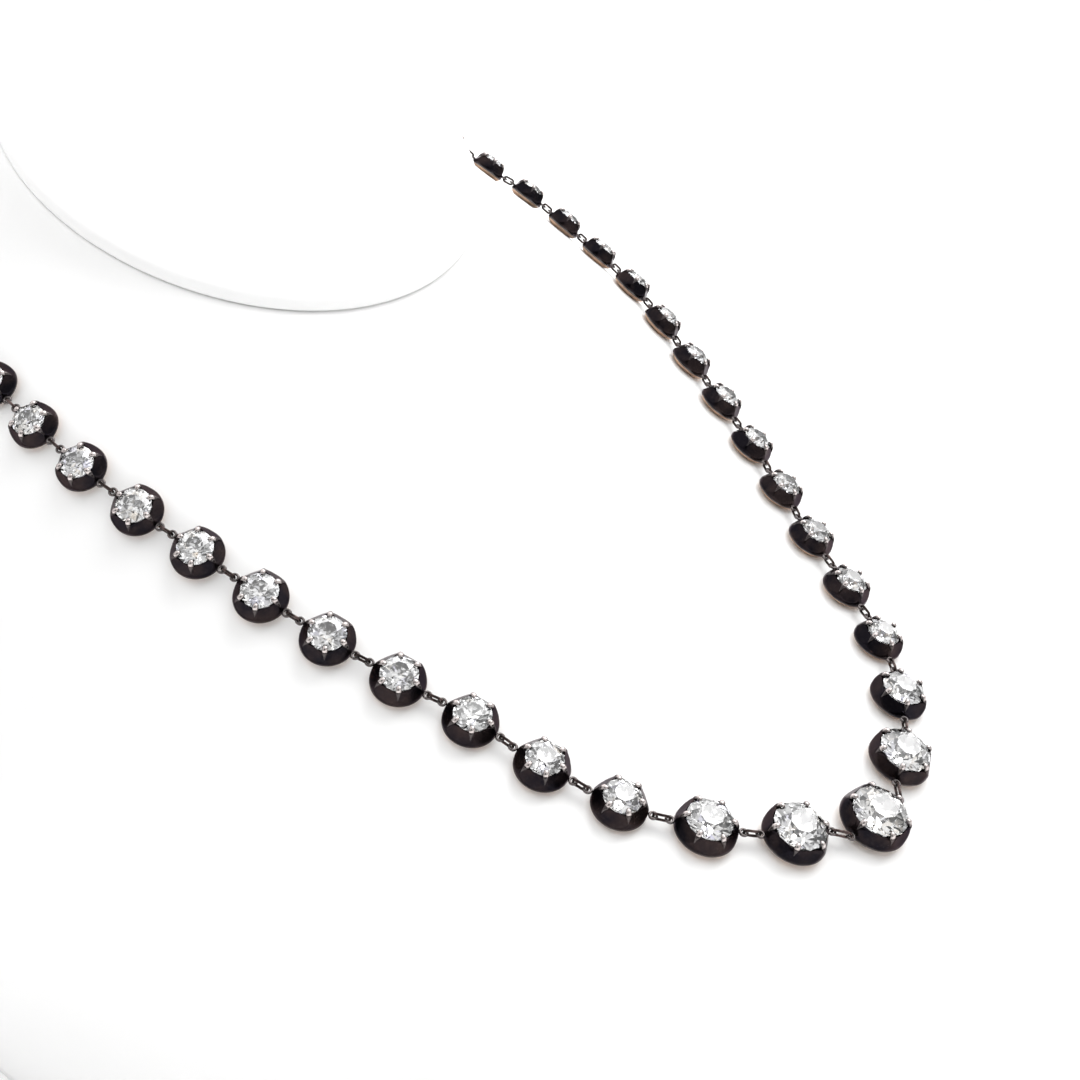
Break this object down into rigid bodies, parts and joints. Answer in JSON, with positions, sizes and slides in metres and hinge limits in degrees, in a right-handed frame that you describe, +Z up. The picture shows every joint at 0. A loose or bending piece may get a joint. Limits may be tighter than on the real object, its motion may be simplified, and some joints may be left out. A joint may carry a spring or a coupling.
{
  "type": "riviere necklace on a neck bust",
  "caption": "Graduated riviere of round old-cut stones in cut-down silver collets with gold backs, linked by jump rings, laid on a plain white display neck bust.",
  "frame": {"origin": "middle of the bust's foot, on the table", "axes": "+Z up, the chest and the largest stone face -Y, +X to the viewer's right"},
  "size_m": [0.1636, 0.2092, 0.1636],
  "materials": {
    "plaster_white": "smooth matt white",
    "dark_silver": "blackened old silver with worn bright claw tips",
    "stone": "polished, clear",
    "gold_back": "worn rose gold",
    "link_silver": "grey old silver"
  },
  "bodies": {
    "root": {"neck_bust": "plaster_white", "centre_setting": "dark_silver", "left_setting_1": "dark_silver", "left_setting_2": "dark_silver", "left_setting_3": "dark_silver", "left_setting_4": "dark_silver", "left_setting_5": "dark_silver", "left_setting_6": "dark_silver", "left_setting_7": "dark_silver", "left_setting_8": "dark_silver", "left_setting_9": "dark_silver", "left_setting_10": "dark_silver", "left_setting_11": "dark_silver", "left_setting_12": "dark_silver", "left_setting_13": "dark_silver", "left_setting_14": "dark_silver", "right_setting_1": "dark_silver", "right_setting_2": "dark_silver", "right_setting_3": "dark_silver", "right_setting_4": "dark_silver", "right_setting_5": "dark_silver", "right_setting_6": "dark_silver", "right_setting_7": "dark_silver", "right_setting_8": "dark_silver", "right_setting_9": "dark_silver", "right_setting_10": "dark_silver", "right_setting_11": "dark_silver", "right_setting_12": "dark_silver", "right_setting_13": "dark_silver", "right_setting_14": "dark_silver", "back_settings_left": "dark_silver", "back_settings_right": "dark_silver", "centre_stone": "stone", "left_stones": "stone", "right_stones": "stone", "back_stones_left": "stone", "back_stones_right": "stone", "gold_backs_left": "gold_back", "gold_backs_right": "gold_back", "jump_rings_left": "link_silver", "jump_rings_right": "link_silver", "clasp": "dark_silver"}
  },
  "joints": []
}
